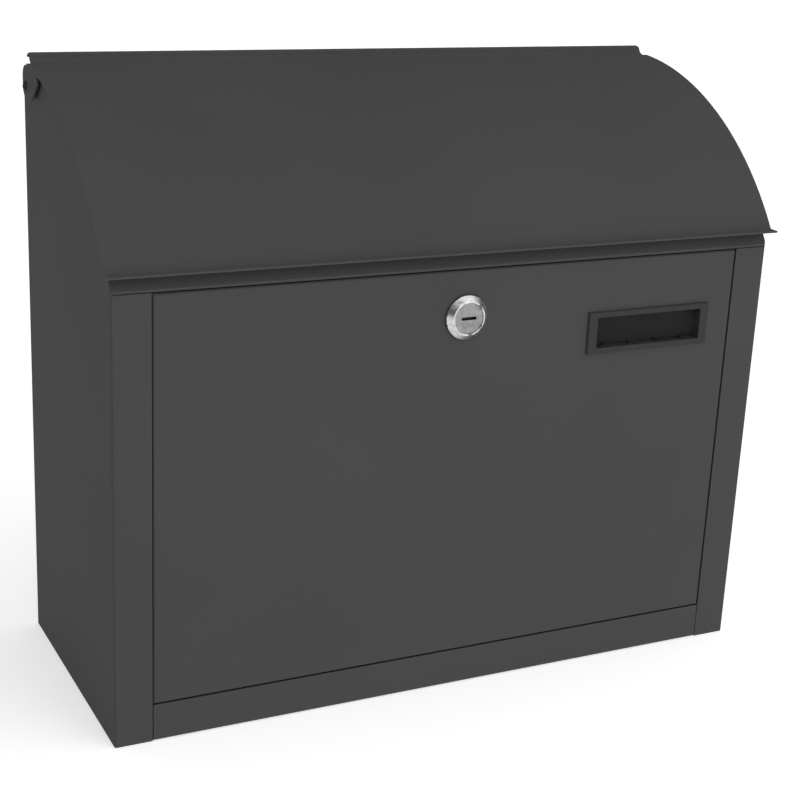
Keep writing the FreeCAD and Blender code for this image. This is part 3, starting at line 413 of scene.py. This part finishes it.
BEZEL_EDGE = 0.0012
RIM_RADIUS = 0.0089
RECESS_RADIUS = 0.0081
RECESS_DEPTH = 0.0028
BORE_RADIUS = 0.00605
THREAD_RADIUS = 0.0090
THREAD_PITCH = 0.0010
THREAD_DEPTH = 0.00035
HOUSING_ROUNDING = 0.00035
barrel_back = -(housing_high.y - LOCK_MIDDLE.y)
nut_back = -(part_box("lock_nut")[1].y - LOCK_MIDDLE.y)
front_section = rounded([(BEZEL_PROUD - RECESS_DEPTH, BORE_RADIUS),
                         (BEZEL_PROUD - RECESS_DEPTH, RECESS_RADIUS), (BEZEL_PROUD, RECESS_RADIUS),
                         (BEZEL_PROUD, RIM_RADIUS), (BEZEL_EDGE, BEZEL_RADIUS), (0.0, BEZEL_RADIUS),
                         (0.0, THREAD_RADIUS)], HOUSING_ROUNDING)
thread = []
far = nut_back - THREAD_PITCH
while far > barrel_back + THREAD_PITCH:
    thread.append((far, THREAD_RADIUS))
    thread.append((far - THREAD_PITCH / 2, THREAD_RADIUS - THREAD_DEPTH))
    far -= THREAD_PITCH
profile = front_section + thread
profile += [(barrel_back, THREAD_RADIUS - THREAD_DEPTH), (barrel_back, BORE_RADIUS)]
housing = finished(turned(profile, LOCK_MIDDLE, FORWARD, steps=160), "lock_barrel", bezel_chrome,
                   "door", sharpest=50.0)
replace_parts(housing, "lock_housing")

PLUG_EDGE = 0.00015
dressed("lock_plug", "lock", plug_chrome, "lock_chrome", PLUG_EDGE)

DULL_BRASS = (0.45, 0.30, 0.11, 1.0)
CLEAN_BRASS = (0.72, 0.52, 0.22, 1.0)
WAFER_EDGE = 0.00006


def stamped_brass(name):
    """Stamped brass: dull and clean patches with a faint press mark."""
    brass = Finish(name, Metallic=1.0)
    mark = brass.noise(700.0, detail=4.0, roughness=0.6)
    brass.set(Base_Color=brass.mix(mark, DULL_BRASS, CLEAN_BRASS))
    brass.set(Roughness=brass.spread(mark, 0.3, 0.7, 0.28, 0.45))
    brass.bump(mark, 0.00001, 0.4)
    return brass.material


dressed("lock_wafers", "lock", stamped_brass("stamped_brass"), "wafer_brass", WAFER_EDGE)

NUT_EDGE = 0.0003
CAM_EDGE = 0.0002
LOCK_WASHER_EDGE = 0.00015
dressed("lock_nut", "door", zinc, "zinc_plate", NUT_EDGE)
dressed("lock_cam", "lock", zinc, "zinc_plate", CAM_EDGE)
dressed("cam_screw", "lock", zinc, "zinc_plate", CAM_EDGE)
dressed("lock_washer", "door", zinc, "zinc_plate", LOCK_WASHER_EDGE)

# ---- Nameplate ----------------------------------------------------------------------------------
# A moulded frame in the body colour snaps through the door. It holds a clear pane over a black
# backing, whose tabs carry the foot of a name card.

BEZEL_GREY = 0.042
BACKING_GREY = 0.015
FRAME_EDGE = 0.0002
PANE_EDGE = 0.0001
bezel_plastic = moulded("anthracite_plastic", BEZEL_GREY, 0.8, 2200.0, 0.00001, sheen=0.1)
black_plastic = moulded("black_plastic", BACKING_GREY, 0.7, 1800.0, 0.00001, sheen=0.1)
dressed("nameplate_bezel", "door", bezel_plastic, "bezel_plastic", FRAME_EDGE)
dressed("nameplate_backing", "door", black_plastic, "black_plastic", FRAME_EDGE)


def clear_pane(name):
    """Clear polished plastic: almost all see-through, with a little dust and long fine scratches."""
    pane = Finish(name, IOR=1.3, Specular_IOR_Level=0.1)
    dust = pane.noise(600.0, detail=5.0, roughness=0.7)
    scratches = pane.noise(60.0, detail=4.0, vector=pane.place(scale=(3.0, 1.0, 26.0)))
    pane.set(Base_Color=pane.mix(dust, grey(0.03), grey(0.07)))
    pane.set(Alpha=pane.spread(dust, 0.4, 0.8, 0.04, 0.08))
    pane.set(Roughness=pane.spread(scratches, 0.35, 0.75, 0.08, 0.22))
    pane.bump(scratches, 0.000002, 0.2)
    return pane.material


dressed("nameplate_window", "door", clear_pane("clear_pane"), "clear_pane", PANE_EDGE)

# ---- Studio -------------------------------------------------------------------------------------
# A plain pale floor under the box and one large soft lamp in front of it. The surround is brightest
# in front and overhead, and dark at the left, where a studio would hang a black cloth.

FLOOR_GAP = 0.0003
FLOOR_SIZE = 6.0
FLOOR_GLOW = 0.49
floor_height = cad_bounds[0][2] - FLOOR_GAP
floor_shape = bmesh.new()
bmesh.ops.create_grid(floor_shape, x_segments=1, y_segments=1, size=FLOOR_SIZE,
                      matrix=Matrix.Translation((0.0, 0.0, floor_height)))
floor_mesh = bpy.data.meshes.new("floor")
floor_shape.to_mesh(floor_mesh)
floor_shape.free()
floor = bpy.data.objects.new("floor", floor_mesh)
bpy.context.scene.collection.objects.link(floor)
floor_finish = Finish("pale_floor", Emission_Color=grey(1.0), Emission_Strength=FLOOR_GLOW)
floor_speckle = floor_finish.noise(40.0, detail=3.0)
floor_finish.set(Base_Color=floor_finish.mix(floor_speckle, grey(0.80), grey(0.84)), Roughness=0.9)
floor_mesh.materials.append(floor_finish.material)

FRONT_LEVEL = 0.95
LEFT_LEVEL = 0.02
TOP_LEVEL = 0.60
BACKDROP_LEVEL = 1.0
world = bpy.data.worlds.new("pale_surround")
world.use_nodes = True
sky = world.node_tree
surround_light = sky.nodes["Background"]
surround_light.inputs["Color"].default_value = grey(1.0)
heading = sky.nodes.new("ShaderNodeTexCoord")
parts = sky.nodes.new("ShaderNodeSeparateXYZ")
sky.links.new(heading.outputs["Generated"], parts.inputs[0])


def eased(source, start, end, first, last):
    """A smooth ramp of one heading part, from first at start to last at end."""
    ramp = sky.nodes.new("ShaderNodeMapRange")
    ramp.interpolation_type = "SMOOTHSTEP"
    for number, value in enumerate((start, end, first, last), start=1):
        ramp.inputs[number].default_value = value
    sky.links.new(source, ramp.inputs[0])
    return Signal(ramp.outputs[0])


from_back = eased(parts.outputs["Y"], 0.8, -0.6, LEFT_LEVEL, FRONT_LEVEL)
from_side = eased(parts.outputs["X"], -0.7, 0.25, LEFT_LEVEL, 1.0)
overhead = eased(parts.outputs["Z"], 0.1, 1.0, 0.0, TOP_LEVEL)
feed(surround_light.inputs["Strength"], from_back * from_side + overhead)
backdrop = sky.nodes.new("ShaderNodeBackground")
backdrop.inputs["Color"].default_value = grey(1.0)
backdrop.inputs["Strength"].default_value = BACKDROP_LEVEL
seen = sky.nodes.new("ShaderNodeLightPath")
chosen = sky.nodes.new("ShaderNodeMixShader")
sky.links.new(seen.outputs["Is Camera Ray"], chosen.inputs[0])
sky.links.new(surround_light.outputs[0], chosen.inputs[1])
sky.links.new(backdrop.outputs[0], chosen.inputs[2])
sky.links.new(chosen.outputs[0], sky.nodes["World Output"].inputs["Surface"])
bpy.context.scene.world = world
bpy.context.scene.view_settings.view_transform = "Standard"


LAMP_PLACE = (0.7, -2.4, 0.5)
LAMP_WIDTH = 1.8
LAMP_POWER = 9.0


def soft_lamp(name, place, width, power):
    """A square soft lamp turned to the box."""
    light = bpy.data.lights.new(name, "AREA")
    light.size = width
    light.energy = power
    holder = bpy.data.objects.new(name, light)
    holder.location = place
    holder.rotation_euler = (-Vector(place)).to_track_quat("-Z", "Y").to_euler()
    bpy.context.scene.collection.objects.link(holder)


soft_lamp("front_lamp", LAMP_PLACE, LAMP_WIDTH, LAMP_POWER)

# The camera stands left of the box and above it, turned down and rolled a little.
CAMERA_PLACE = (-0.39682, -0.86716, 0.27379)
CAMERA_YAW = radians(26.791)
CAMERA_DOWN = radians(18.372)
CAMERA_ROLL = radians(2.684)
CAMERA_LENS = 75.30
SENSOR_WIDTH = 36.0

camera_data = bpy.data.cameras.new("camera")
camera_data.lens = CAMERA_LENS
camera_data.sensor_width = SENSOR_WIDTH
camera_data.clip_start = 0.01
camera = bpy.data.objects.new("camera", camera_data)
ahead = Vector((sin(CAMERA_YAW) * cos(CAMERA_DOWN), cos(CAMERA_YAW) * cos(CAMERA_DOWN), -sin(CAMERA_DOWN)))
level_right = Vector((cos(CAMERA_YAW), -sin(CAMERA_YAW), 0.0))
level_up = level_right.cross(ahead)
right = cos(CAMERA_ROLL) * level_right + sin(CAMERA_ROLL) * level_up
up = cos(CAMERA_ROLL) * level_up - sin(CAMERA_ROLL) * level_right
turn = Matrix((right, up, -ahead)).transposed()
camera.matrix_world = Matrix.Translation(CAMERA_PLACE) @ turn.to_4x4()
bpy.context.scene.collection.objects.link(camera)
bpy.context.scene.camera = camera
